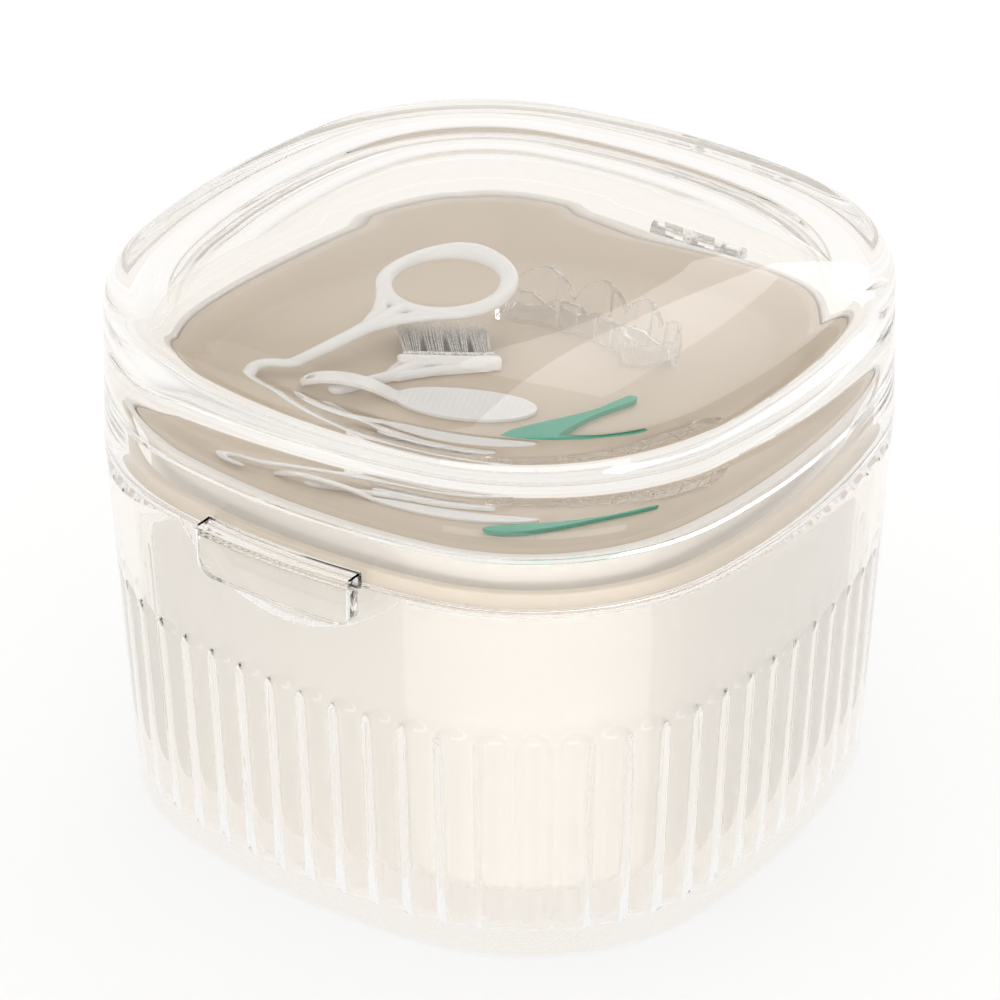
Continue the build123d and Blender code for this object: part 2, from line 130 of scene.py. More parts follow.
# %% [markdown]
# A cup, a lid or a tray is then one closed skin: a list of rings that runs from the middle of one
# face, round the wall and back to the middle of the other face. Skinning the rings in code keeps
# the walls exact, which matters here because clear plastic shows every error in its refraction.

# %% Skin a profile into a closed shell
MIDDLE = 30.0  # inset of the last ring on a flat face, which a fan closes
PLAIN_STEPS = 320


def finish_mesh(mesh, sharp=32):
    """Points the faces outwards, smooths them and keeps the corners sharp."""
    work = bmesh.new()
    work.from_mesh(mesh)
    bmesh.ops.remove_doubles(work, verts=work.verts, dist=1e-7)
    bmesh.ops.recalc_face_normals(work, faces=work.faces)
    work.to_mesh(mesh)
    work.free()
    mesh.polygons.foreach_set("use_smooth", [True] * len(mesh.polygons))
    mesh.set_sharp_from_angle(angle=math.radians(sharp))
    mesh.update()


def new_piece(name, mesh):
    piece = bpy.data.objects.new(name, mesh)
    bpy.context.scene.collection.objects.link(piece)
    return piece


def mesh_piece(name, vertices, faces):
    """Finished piece from its points, in mm, and its faces."""
    mesh = bpy.data.meshes.new(name)
    mesh.from_pydata([(x * MM, y * MM, z * MM) for x, y, z in vertices], [], faces)
    finish_mesh(mesh)
    return new_piece(name, mesh)


def ring_points(profile, headings):
    """Points of rings of (inset, height, share), ring by ring, in mm."""
    return [(*plan_point(inset, heading, share), height)
            for inset, height, share in profile for heading in headings]


def ring_faces(rings, count, closed=False):
    """Quads from each ring of this many points to the next, and from the last to the first."""
    faces = []
    for ring in range(rings if closed else rings - 1):
        here, above = ring * count, (ring + 1) % rings * count
        for step in range(count):
            after = (step + 1) % count
            faces.append((here + step, here + after, above + after, above + step))
    return faces


def tube_faces(rings, count):
    """Quads between the rings, with a flat cap on the first and on the last."""
    last = (rings - 1) * count
    return [tuple(range(count)), tuple(range(last, last + count))] + ring_faces(rings, count)


def shell(name, profile, headings):
    """Closed skin from rings of (inset, height, share), closed by a fan at each end, in mm."""
    count = len(headings)
    vertices = ring_points(profile, headings)
    faces = ring_faces(len(profile), count)
    for ring in (0, len(profile) - 1):
        first, middle = ring * count, len(vertices)
        faces += [(first + step, first + (step + 1) % count, middle) for step in range(count)]
        vertices.append((0.0, 0.0, profile[ring][1]))
    return mesh_piece(name, vertices, faces)


def round_points(x, y, radius, start, end, steps):
    """Points along an arc, in degrees."""
    points = []
    for step in range(steps + 1):
        angle = math.radians(start + (end - start) * step / steps)
        points.append((x + radius * math.cos(angle), y + radius * math.sin(angle)))
    return points


def arc(middle_inset, middle_height, radius, start, end, steps):
    """Rings along an arc of the profile; an angle of 0 faces outwards and 90 faces up."""
    return [(-x, height, 1.0)
            for x, height in round_points(-middle_inset, middle_height, radius, start, end, steps)]


plain_headings = [heading_after(step / PLAIN_STEPS, 0) for step in range(PLAIN_STEPS)]
print("rings of", len(plain_headings), "points")

# %% [markdown]
# Small helpers finish a piece. One turns an object with its modifiers into a plain mesh, as the
# export needs. Another joins or cuts shapes with the Boolean modifier, which suits the hinge
# knuckles: welded into the clear plastic, they leave no wall inside it.

# %% Bake and cut
def bake(piece, sharp=32):
    """Replaces the piece's mesh by its evaluated one and removes the modifiers."""
    bpy.context.view_layer.update()
    graph = bpy.context.evaluated_depsgraph_get()
    mesh = bpy.data.meshes.new_from_object(piece.evaluated_get(graph))
    piece.modifiers.clear()
    old = piece.data
    piece.data = mesh
    bpy.data.meshes.remove(old)
    mesh.name = piece.name
    finish_mesh(mesh, sharp)


def combine(piece, others, operation):
    """Joins the other shapes to the piece or cuts them out of it."""
    for other in others:
        configure(piece.modifiers.new(operation.lower(), "BOOLEAN"), operation=operation,
                  solver="EXACT", object=other)
    bake(piece)
    for other in others:
        bpy.data.objects.remove(other)


def prism(name, outline, low, high, to_world):
    """Closed prism over a flat outline between two levels, placed by to_world(x, y, level)."""
    vertices = [to_world(x, y, level) for level in (low, high) for x, y in outline]
    return mesh_piece(name, vertices, tube_faces(2, len(outline)))


def gather(mesh, parts):
    """Adds the parts' meshes to this mesh and removes the parts."""
    joined = bmesh.new()
    joined.from_mesh(mesh)
    for part in parts:
        joined.from_mesh(part.data)
        bpy.data.objects.remove(part)
    joined.to_mesh(mesh)
    joined.free()


print("helpers ready")

# %% [markdown]
# Materials, repeated shapes and the room are all made of nodes. These helpers add one node at a
# time and wire it up as it is added.

# %% Helpers for nodes
def feed(tree, node, values):
    """Sets a node's inputs; values are (input, socket or number) pairs."""
    for key, value in values:
        if isinstance(value, bpy.types.NodeSocket):
            tree.links.new(value, node.inputs[key])
        else:
            node.inputs[key].default_value = value


def put(tree, kind, values=(), **settings):
    """Adds a node with these settings and inputs."""
    node = configure(tree.nodes.new(kind), **settings)
    feed(tree, node, values)
    return node


def calc(tree, operation, *values):
    """Adds a Math node and returns its result."""
    return put(tree, "ShaderNodeMath", list(enumerate(values)), operation=operation).outputs[0]


def blend_colours(tree, share, first, second):
    """Mixes two colours by this share and returns the result."""
    return put(tree, "ShaderNodeMix", [
        ("Factor", share), ("A", (*first, 1.0)), ("B", (*second, 1.0))],
        data_type="RGBA").outputs["Result"]


def mix_shaders(tree, share, first, second):
    """Mixes two shader nodes by this share and returns the new node."""
    return put(tree, "ShaderNodeMixShader", [
        (0, share), (1, first.outputs[0]), (2, second.outputs[0])])


def new_material(name):
    material = bpy.data.materials.new(name)
    material.use_nodes = True
    return material, material.node_tree, material.node_tree.nodes["Principled BSDF"]


def noise_on(tree, place, *values):
    """Noise texture over these coordinates."""
    return put(tree, "ShaderNodeTexNoise", [("Vector", place), *values]).outputs["Fac"]


def add_bump(tree, shader, scale, strength, distance, detail=3.0):
    """Noise bump on the object's own coordinates, which it returns."""
    place = put(tree, "ShaderNodeTexCoord").outputs["Object"]
    height = noise_on(tree, place, ("Scale", scale), ("Detail", detail))
    bump = put(tree, "ShaderNodeBump", [
        ("Strength", strength), ("Distance", distance), ("Height", height)])
    feed(tree, shader, [("Normal", bump.outputs["Normal"])])
    return place


print("node helpers ready")

# %% [markdown]
# Clear moulded plastic is a Principled shader with full transmission. Real parts are never
# optically flat: the melt leaves a faint waviness, so a very weak, large noise bends the normals
# a little. Shadow rays pass through a Transparent shader instead, because a clear case throws
# only a faint shadow and light has to reach the tray.

# %% Clear plastic
CLEAR_TINT = (1.0, 0.995, 0.985)
CLEAR_IOR = 1.49


def clear_plastic(name, tint, ior, waviness, wave_scale):
    material, tree, shader = new_material(name)
    feed(tree, shader, [("Base Color", (*tint, 1.0)), ("Roughness", 0.0),
                        ("Transmission Weight", 1.0), ("IOR", ior)])
    add_bump(tree, shader, wave_scale, waviness, 0.0002, 1.0)
    shadow_ray = put(tree, "ShaderNodeLightPath").outputs["Is Shadow Ray"]
    surface = mix_shaders(tree, shadow_ray, shader, put(tree, "ShaderNodeBsdfTransparent"))
    feed(tree, tree.nodes["Material Output"], [(0, surface.outputs[0])])
    return material


clear_case_finish = clear_plastic("clear case plastic", CLEAR_TINT, CLEAR_IOR, 0.05, 60.0)
clear_lid_finish = clear_plastic("clear lid plastic", CLEAR_TINT, CLEAR_IOR, 0.04, 45.0)
retainer_finish = clear_plastic("retainer sheet", (0.985, 0.99, 1.0), 1.5, 0.25, 400.0)
print("clear plastics", 3)

# %% [markdown]
# The coloured plastics share one recipe. A fine noise stands for the mould's satin grain, a
# second, larger noise shifts the colour and the roughness by a few percent, as uneven cooling
# does, and a little subsurface light softens the thin white tools.

# %% Moulded plastics
def moulded_plastic(name, colour, shade, roughness, grain, grain_strength, glow=0.0):
    material, tree, shader = new_material(name)
    place = add_bump(tree, shader, grain, grain_strength, 0.00005)
    cloud = noise_on(tree, place, ("Scale", 35.0), ("Detail", 2.0))
    rough = put(tree, "ShaderNodeMapRange", [
        ("Value", cloud), ("To Min", roughness * 0.85), ("To Max", roughness * 1.15)])
    feed(tree, shader, [
        ("Base Color", blend_colours(tree, cloud, colour, shade)),
        ("Roughness", rough.outputs["Result"]), ("IOR", 1.5)])
    if glow:
        feed(tree, shader, [("Subsurface Weight", glow), ("Subsurface Radius", (1.0, 0.9, 0.8)),
                            ("Subsurface Scale", 0.0012)])
    return material


tub_finish = moulded_plastic(
    "tub white", (0.90, 0.875, 0.84), (0.88, 0.855, 0.82), 0.32, 1800.0, 0.12)
tray_finish = moulded_plastic(
    "tray tan", (0.70, 0.595, 0.475), (0.68, 0.575, 0.455), 0.38, 1500.0, 0.18)
# The seal's beige colour is painted shade: a darker band in the joint between case and lid.
seal_painted_shade_finish = moulded_plastic(
    "seal silicone painted shade", (0.76, 0.68, 0.58), (0.73, 0.65, 0.55), 0.45, 900.0, 0.15, 0.2)
tool_finish = moulded_plastic(
    "tool white", (0.86, 0.855, 0.85), (0.84, 0.835, 0.83), 0.22, 1200.0, 0.05, 0.15)
pick_finish = moulded_plastic(
    "pick green", (0.035, 0.36, 0.235), (0.03, 0.32, 0.205), 0.2, 1400.0, 0.06, 0.25)
print("moulded plastics", 5)

# %% Bristles and steel
bristle_finish, bristle_tree, bristle_shader = new_material("bristle nylon")
bristle_place = put(bristle_tree, "ShaderNodeTexCoord").outputs["Object"]
bristle_noise = noise_on(bristle_tree, bristle_place, ("Scale", 2500.0))
bristle_ramp = put(bristle_tree, "ShaderNodeValToRGB", [("Fac", bristle_noise)])
for stop, position, colour in zip(bristle_ramp.color_ramp.elements, (0.35, 0.6),
                                  ((0.50, 0.46, 0.42, 1.0), (0.88, 0.87, 0.85, 1.0))):
    configure(stop, position=position, color=colour)
feed(bristle_tree, bristle_shader, [
    ("Base Color", bristle_ramp.outputs["Color"]), ("Roughness", 0.3)])

steel_finish, steel_tree, steel_shader = new_material("hinge steel")
steel_place = put(steel_tree, "ShaderNodeTexCoord").outputs["Object"]
steel_stretch = put(steel_tree, "ShaderNodeMapping", [
    ("Vector", steel_place), ("Scale", (200.0, 6000.0, 6000.0))])
steel_rough = put(steel_tree, "ShaderNodeMapRange", [
    ("Value", noise_on(steel_tree, steel_stretch.outputs["Vector"])),
    ("To Min", 0.18), ("To Max", 0.38)])
feed(steel_tree, steel_shader, [("Base Color", (0.62, 0.62, 0.63, 1.0)), ("Metallic", 1.0),
                                ("Roughness", steel_rough.outputs["Result"])])
print("bristle and steel finishes ready")

# %% [markdown]
# The outer case is a cup with draft: it widens a little towards the rim so that it leaves its
# mould. Its profile runs from the middle of the base up the outside, over the rim and down the
# inside to the floor. The rings of the inner wall are counted, because the next step cuts the
# flutes into them alone.

# %% Outer case before its flutes
RIM = 54.95
RIM_ROUND = 0.35
BASE_INSET = 1.8
BASE_ROUND = 1.6
CASE_WALL = 3.0
CASE_FLOOR = 3.0
CASE_FLOOR_ROUND = 0.8
FLUTES = 60
FLUTE_STEPS = 12
FLUTE_TOP = CASE_FLOOR + 33.0


def case_inset(height):
    return BASE_INSET * (1 - height / RIM)


def wall(depth, heights):
    """Rings at these heights, this far inside the outside of the case."""
    return [(case_inset(height) + depth, height, 1.0) for height in heights]


fluted_headings = [heading_after(step / (FLUTES * FLUTE_STEPS), case_inset(20) + CASE_WALL)
                   for step in range(FLUTES * FLUTE_STEPS)]
floor_inset = case_inset(CASE_FLOOR) + CASE_WALL
case_profile = [(MIDDLE, 0.0, 1.0), (BASE_INSET + BASE_ROUND, 0.0, 1.0)]
case_profile += arc(BASE_INSET + BASE_ROUND, BASE_ROUND, BASE_ROUND, -80, 0, 8)
case_profile += wall(0.0, (12, 24, 36, 46, 52))
case_profile += arc(RIM_ROUND, RIM - RIM_ROUND, RIM_ROUND, 0, 90, 4)
case_profile += arc(CASE_WALL - RIM_ROUND, RIM - RIM_ROUND, RIM_ROUND, 90, 180, 4)
inner_start = len(case_profile)
case_profile += wall(CASE_WALL, (50, 44, 38))
case_profile += wall(CASE_WALL, [
    FLUTE_TOP - drop for drop in
    (0.0, 0.02, 0.1, 0.25, 0.45, 0.7, 1.0, 1.4, 1.9, 2.5, 8.0, 16.0, 24.0, 30.0, 32.0)])
case_profile += arc(floor_inset + CASE_FLOOR_ROUND, CASE_FLOOR + CASE_FLOOR_ROUND,
                    -CASE_FLOOR_ROUND, 180, 270, 5)
inner_end = len(case_profile)
case_profile += [(floor_inset + 3.0, CASE_FLOOR, 1.0), (MIDDLE, CASE_FLOOR, 1.0)]
print("case profile of", len(case_profile), "rings")

# %% [markdown]
# The flutes follow one rule: the same shallow round groove sixty times round the inner wall.
# Modelling one groove and arraying it would leave seams in clear plastic, so Geometry Nodes move
# the points of the smooth wall outwards instead. Each point knows its share of the way round.
# The fraction of that share times the count tells how far it is from its groove's middle, and
# the groove dies away in a rounded end at the top.

# %% Helpers for geometry trees
def start_tree(name, sizes, counts=()):
    """New Geometry Nodes tree with named inputs for its sizes, its counts and its finish."""
    tree = bpy.data.node_groups.new(name, "GeometryNodeTree")
    tree.interface.new_socket("Geometry", in_out="INPUT", socket_type="NodeSocketGeometry")
    for labels, kind in ((sizes, "Float"), (counts, "Int")):
        for label in labels:
            tree.interface.new_socket(label, in_out="INPUT", socket_type="NodeSocket" + kind)
    tree.interface.new_socket("Finish", in_out="INPUT", socket_type="NodeSocketMaterial")
    tree.interface.new_socket("Geometry", in_out="OUTPUT", socket_type="NodeSocketGeometry")
    return tree, tree.nodes.new("NodeGroupInput").outputs


def realized(tree, geometry):
    return put(tree, "GeometryNodeRealizeInstances", [("Geometry", geometry)]).outputs[0]


def finish_tree(tree, entry, geometry):
    """Ends the tree with Realize Instances and Set Material."""
    paint = put(tree, "GeometryNodeSetMaterial", [
        ("Geometry", realized(tree, geometry)), ("Material", entry["Finish"])])
    put(tree, "NodeGroupOutput", [("Geometry", paint.outputs[0])])
    print(tree.name, "rule of", len(tree.nodes), "nodes")


def run_tree(piece, tree, values, sharp=32):
    """Runs the tree on the piece with these input values and keeps the plain mesh."""
    modifier = piece.modifiers.new(tree.name, "NODES")
    modifier.node_group = tree
    for item in tree.interface.items_tree:
        if item.in_out == "INPUT" and item.name in values:
            modifier[item.identifier] = values[item.name]
    bake(piece, sharp)


def measured(tree, name, kind="FLOAT"):
    """Reads a value that the mesh carries on its points."""
    node = put(tree, "GeometryNodeInputNamedAttribute", [("Name", name)], data_type=kind)
    return node.outputs["Attribute"]


def split(tree, vector):
    return put(tree, "ShaderNodeSeparateXYZ", [(0, vector)]).outputs


def own_place(tree):
    return put(tree, "GeometryNodeInputPosition").outputs[0]


def grid_of(tree, across, up, pitch_across, pitch_up):
    """Flat grid of points about the origin, from its counts and its pitches."""
    return put(tree, "GeometryNodeMeshGrid", [
        ("Size X", calc(tree, "MULTIPLY", calc(tree, "SUBTRACT", across, 1.0), pitch_across)),
        ("Size Y", calc(tree, "MULTIPLY", calc(tree, "SUBTRACT", up, 1.0), pitch_up)),
        ("Vertices X", across), ("Vertices Y", up)]).outputs["Mesh"]


def repeat(tree, points, shape, *values):
    """Sets the shape on every point."""
    return put(tree, "GeometryNodeInstanceOnPoints", [
        ("Points", points), ("Instance", shape.outputs["Mesh"]), *values]).outputs[0]


def pegs(tree, points, sides, radius, depth, height):
    """Upright cylinders on the points, with their middles at this height."""
    peg = put(tree, "GeometryNodeMeshCylinder", [
        ("Vertices", sides), ("Radius", radius), ("Depth", depth)])
    place = put(tree, "ShaderNodeCombineXYZ", [("Z", height)])
    moved = put(tree, "GeometryNodeTransform", [
        ("Geometry", repeat(tree, points, peg)), ("Translation", place.outputs[0])])
    return realized(tree, moved.outputs[0])


print("geometry helpers ready")

# %% The flute rule
flute_tree, flute_in = start_tree("flutes", ["Depth", "Land Share", "Top", "Run-out"], ["Count"])
flute = partial(calc, flute_tree)
turns = flute("MULTIPLY", measured(flute_tree, "round"), flute_in["Count"])
across = flute("SUBTRACT", flute("FRACT", turns), 0.5)
across = flute("DIVIDE", across, flute("MULTIPLY_ADD", flute_in["Land Share"], -0.5, 0.5))
above = flute("SUBTRACT", split(flute_tree, own_place(flute_tree))["Z"],
              flute("SUBTRACT", flute_in["Top"], flute_in["Run-out"]))
above = flute("MAXIMUM", flute("DIVIDE", above, flute_in["Run-out"]), 0.0)
hollow = flute("SUBTRACT", 1.0, flute("MULTIPLY", across, across))
hollow = flute("SUBTRACT", hollow, flute("MULTIPLY", above, above))
hollow = flute("MULTIPLY", flute("MAXIMUM", hollow, 0.0), flute_in["Depth"])
hollow = flute("MULTIPLY", hollow, measured(flute_tree, "inner wall"))
heading = measured(flute_tree, "heading")
outwards = put(flute_tree, "ShaderNodeCombineXYZ", [
    ("X", flute("SINE", heading)), ("Y", flute("COSINE", heading))])
shift = put(flute_tree, "ShaderNodeVectorMath", [(0, outwards.outputs[0]), ("Scale", hollow)],
            operation="SCALE")
moved = put(flute_tree, "GeometryNodeSetPosition", [
    ("Geometry", flute_in["Geometry"]), ("Offset", shift.outputs[0])])
finish_tree(flute_tree, flute_in, moved.outputs[0])

# %% Outer case with its flutes
case_piece = shell("clear_case", case_profile, fluted_headings)
ring_size = len(fluted_headings)
marks = {"round": [], "heading": [], "inner wall": []}
for index in range(len(case_piece.data.vertices)):
    ring, step = divmod(index, ring_size)
    marks["round"].append(step / ring_size)
    marks["heading"].append(fluted_headings[step])
    marks["inner wall"].append(float(inner_start <= ring < inner_end))
for name, values in marks.items():
    case_piece.data.attributes.new(name, "FLOAT", "POINT").data.foreach_set("value", values)
run_tree(case_piece, flute_tree, {
    "Count": FLUTES, "Depth": 0.85 * MM, "Land Share": 0.07, "Top": FLUTE_TOP * MM,
    "Run-out": 2.4 * MM, "Finish": clear_case_finish})
for name in marks:
    case_piece.data.attributes.remove(case_piece.data.attributes[name])
print("case faces", len(case_piece.data.polygons))

# %% [markdown]
# The finger recess is a shallow scoop in the front wall, bounded below by an arc, where a thumb
# reaches the lid's tab. It is cut, and not sculpted, because its edge has to be crisp: the light
# that it bends is the dark arc that shows under the tab. The two rear knuckles and the bore of
# the hinge pin are joined and cut in the same way.

# %% Finger recess and the case's hinge knuckles
HINGE = (53.0, 57.0)
HINGE_WALL = 49.0
KNUCKLE_RADIUS = 2.2
BORE_RADIUS = 1.05
BORE_HALF = 12
RECESS_DEPTH = 1.6
RECESS_HEIGHT = 8.4
RECESS_HALF_WIDTH = 17.8


def across_case(x, y, level):
    return (level, x, y)


def add_knuckles(piece, outline, places, half_width, extra=()):
    """Joins hinge knuckles to the piece, with any other shapes, and bores them for the pin."""
    knuckles = [prism("knuckle", outline, place - half_width, place + half_width, across_case)
                for place in places]
    combine(piece, [*extra, *knuckles], "UNION")
    disc = round_points(*HINGE, BORE_RADIUS, 0, 360, 32)[:-1]
    combine(piece, [prism("bore", disc, -BORE_HALF, BORE_HALF, across_case)], "DIFFERENCE")


recess_radius = (RECESS_HEIGHT**2 + RECESS_HALF_WIDTH**2) / (2 * RECESS_HEIGHT)
recess_disc = round_points(0, RIM - RECESS_HEIGHT + recess_radius, recess_radius, 0, 360, 180)[:-1]
recess_cutter = prism("recess", recess_disc, -60, -25, lambda x, y, level: (x, level, y))
recess_core = shell("core", [(RECESS_DEPTH, 0.0, 1.0), (RECESS_DEPTH, 100.0, 1.0)], plain_headings)
combine(recess_cutter, [recess_core], "DIFFERENCE")
combine(case_piece, [recess_cutter], "DIFFERENCE")
case_knuckle = [(HINGE_WALL, 46.5), (HINGE_WALL, 54.45)]
case_knuckle += round_points(*HINGE, KNUCKLE_RADIUS, 214.8, -30.7, 40)
add_knuckles(case_piece, case_knuckle, (-6.8, 6.8), 1.8)
print("case faces with recess and knuckles", len(case_piece.data.polygons))


# %% Let a piece stand for its node
def stand_for(piece, body, node, finish=None):
    """Paints the piece, lets it move with its body and hides the node that it replaces."""
    if finish:
        piece.data.materials.clear()
        piece.data.materials.append(finish)
    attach(piece, body)
    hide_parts(node)
    box = [limit(vertex.co[axis] for vertex in piece.data.vertices)
           for limit in (min, max) for axis in range(3)]


stand_for(case_piece, "case", "outer_case", clear_case_finish)

# %% [markdown]
# The lid is thick and clear. Its hollow isn't a copy of its outside: the outside has upright
# sides, a tight round edge and a gently crowned top, while the inside closes in a rounder dome.
# The plastic is thin in the middle and thick under the edge, and that thick edge is the lens
# that shows the contents twice. The dome is a superellipse: its exponent sets how square its
# shoulder is. Below the dome a rebate leaves room for the tub's neck and the seal.

# %% Lid skin
LID_BOTTOM = 55.25
LID_TOP = 83.1
LID_DRAFT = 1.35
LID_FOOT_ROUND = 0.25
EDGE_RADIUS = 4.2
CROWN = 4.5
CROWN_POWER = 1.9
CROWN_RINGS = 40
REBATE_INSET = 1.6
REBATE_TOP = 62.1
DOME_INSET = 3.1
DOME_START = 62.8
DOME_TOP = 78.0
DOME_POWER = 2.55
DOME_RINGS = 60


def lid_inset(height):
    return LID_DRAFT * (height - LID_BOTTOM) / (LID_TOP - LID_BOTTOM)


lid_slope = math.degrees(math.atan2(LID_DRAFT, LID_TOP - LID_BOTTOM))
edge_height = LID_TOP - CROWN - EDGE_RADIUS
edge_inset = lid_inset(edge_height) + EDGE_RADIUS
edge_turn = 90 - math.degrees(math.atan(CROWN * CROWN_POWER / (HALF_WIDTH - edge_inset)))
lid_edge = arc(edge_inset, edge_height, EDGE_RADIUS, edge_turn, lid_slope, 20)
crown_inset, crown_start, _ = lid_edge[0]
lid_profile = []
for step in range(CROWN_RINGS):
    share = 0.02 + 0.98 * step / CROWN_RINGS
    lid_profile.append((crown_inset, LID_TOP - (LID_TOP - crown_start) * share**CROWN_POWER, share))
lid_profile += lid_edge
lid_profile += [(lid_inset(height), height, 1.0) for height in (72, 69, 66, 62, 58, 56)]
lid_profile += arc(LID_FOOT_ROUND, LID_BOTTOM + LID_FOOT_ROUND, LID_FOOT_ROUND, 0, -90, 4)
lid_profile += arc(REBATE_INSET - 0.15, LID_BOTTOM + 0.15, 0.15, -90, -180, 3)
lid_profile += [(REBATE_INSET, 59.0, 1.0), (REBATE_INSET, REBATE_TOP - 0.05, 1.0),
                (REBATE_INSET + 0.05, REBATE_TOP, 1.0), (DOME_INSET - 0.1, REBATE_TOP, 1.0),
                (DOME_INSET, REBATE_TOP + 0.1, 1.0), (DOME_INSET, REBATE_TOP + 0.4, 1.0)]
for step in range(DOME_RINGS + 1):
    angle = QUARTER * min(step / DOME_RINGS, 0.992)
    rise = (DOME_TOP - DOME_START) * math.sin(angle) ** (2 / DOME_POWER)
    lid_profile.append((DOME_INSET, DOME_START + rise, math.cos(angle) ** (2 / DOME_POWER)))
lid_piece = shell("clear_lid", lid_profile, plain_headings)
print("lid rings", len(lid_profile), "faces", len(lid_piece.data.polygons))

# %% [markdown]
# The tab that lifts the lid is a short curved slab that follows the wall and hangs over the
# finger recess. Its sections are placed column by column, which gives the rounded lower corners,
# and a bevel softens its edges before it is joined to the lid.

# %% Lift tab
TAB_HALF_WIDTH = 12.3
TAB_CORNER = 2.5
TAB_BOTTOM = 50.2
TAB_TOP = 57.3
tab_straight = TAB_HALF_WIDTH - TAB_CORNER
tab_columns = [-tab_straight - TAB_CORNER * math.cos(QUARTER * step / 8) for step in range(9)]
tab_columns += [tab_straight * (step / 12 - 1) for step in range(1, 24)]
tab_columns += [-column for column in reversed(tab_columns[:9])]
tab_vertices = []
for column in tab_columns:
    corner = max(abs(column) - tab_straight, 0.0)
    low = TAB_BOTTOM + TAB_CORNER - math.sqrt(max(TAB_CORNER**2 - corner**2, 0.0))
    for inset, height in ((-2.5, low), (-2.5, TAB_TOP), (0.8, TAB_TOP), (0.8, LID_BOTTOM),
                          (-0.3, LID_BOTTOM), (-0.3, low)):
        depth = side_drop - math.sqrt((SIDE_RADIUS - inset) ** 2 - column**2)
        tab_vertices.append((column, depth, height))
tab_piece = mesh_piece("tab", tab_vertices, tube_faces(len(tab_columns), 6))
configure(tab_piece.modifiers.new("bevel", "BEVEL"), width=0.45 * MM, segments=3,
          limit_method="ANGLE", angle_limit=math.radians(50), use_clamp_overlap=False)
bake(tab_piece)
print("tab faces", len(tab_piece.data.polygons))

# %% Lid with its tab and knuckles
lid_knuckle = [(HINGE_WALL, 55.55), (HINGE_WALL, 61.5)]
lid_knuckle += round_points(*HINGE, KNUCKLE_RADIUS, 72.5, -90, 30)
add_knuckles(lid_piece, lid_knuckle, (-3.1, 3.1), 1.7, [tab_piece])
stand_for(lid_piece, "lid", "lid", clear_lid_finish)

# %% [markdown]
# Two small parts close the joint between case and lid. The seal is a soft band with rounded
# edges that stands on the rim; its beige tone is painted shade, which darkens the joint between
# case and lid. The hinge pin is a straight steel rod with chamfered ends.

# %% Seal ring and hinge pin
SEAL_ROUND = 0.3
SEAL_OUTER, SEAL_INNER = 2.6, 3.2
PIN_SIDES = 48
seal_low, seal_high = RIM + SEAL_ROUND, RIM + 2.3 - SEAL_ROUND
seal_rings = []
for inset, height, start in ((SEAL_OUTER, seal_low, -90), (SEAL_OUTER, seal_high, 0),
                             (SEAL_INNER, seal_high, 90), (SEAL_INNER, seal_low, 180)):
    seal_rings += arc(inset, height, SEAL_ROUND, start, start + 90, 4)
seal_piece = mesh_piece("soft_seal", ring_points(seal_rings, plain_headings),
                        ring_faces(len(seal_rings), PLAIN_STEPS, closed=True))
stand_for(seal_piece, "case", "seal_ring", seal_painted_shade_finish)

pin_rings = [(-8.8, 0.8), (-8.6, 1.0), (8.6, 1.0), (8.8, 0.8)]
pin_vertices = [(along, y, z) for along, radius in pin_rings
                for y, z in round_points(*HINGE, radius, 0, 360, PIN_SIDES)[:-1]]
pin_piece = mesh_piece("steel_pin", pin_vertices, tube_faces(len(pin_rings), PIN_SIDES))
stand_for(pin_piece, "case", "hinge_pin", steel_finish)

# %% [markdown]
# The white tub is a second cup that hangs inside the first with room for water between them. Its
# neck stands up into the lid and carries the tray in a rebate. Its floor has a grid of drain
# holes and four feet. Both repeat, so a node tree places one cylinder many times, joins the feet
# and cuts the holes in one go.

# %% Tub
TUB_BOTTOM = 6.5
TUB_TOP = 61.0
TUB_INSET = 5.3
TUB_WALL = 2.6
TUB_BASE_ROUND = 4.0
TUB_FLOOR_TOP = 8.1
NECK_WALL = 1.3
tub_head_inset = case_inset(TUB_TOP) + TUB_INSET
tub_inner = TUB_INSET + TUB_WALL
tub_profile = [(MIDDLE, TUB_BOTTOM, 1.0)]
tub_profile += arc(case_inset(10.5) + TUB_INSET + TUB_BASE_ROUND, TUB_BOTTOM + TUB_BASE_ROUND,
                   TUB_BASE_ROUND, -90, -1.9, 12)
tub_profile += wall(TUB_INSET, (20, 30, 40, 50, 58))
tub_profile += arc(tub_head_inset + 0.4, TUB_TOP - 0.4, 0.4, 0, 90, 5)
tub_profile += arc(tub_head_inset + NECK_WALL - 0.3, TUB_TOP - 0.3, 0.3, 90, 180, 4)
tub_profile += [(tub_head_inset + NECK_WALL, 58.75, 1.0),
                (tub_head_inset + NECK_WALL + 0.05, 58.7, 1.0)]
tub_profile += arc(case_inset(58.4) + tub_inner - 0.3, 58.4, 0.3, 90, 180, 4)
tub_profile += wall(tub_inner, (48, 36, 24, 14))
tub_profile += arc(case_inset(9.6) + tub_inner + 1.5, 9.6, 1.5, 0, -90, 6)
tub_profile += [(MIDDLE, TUB_FLOOR_TOP, 1.0)]
tub_piece = shell("white_tub", tub_profile, plain_headings)

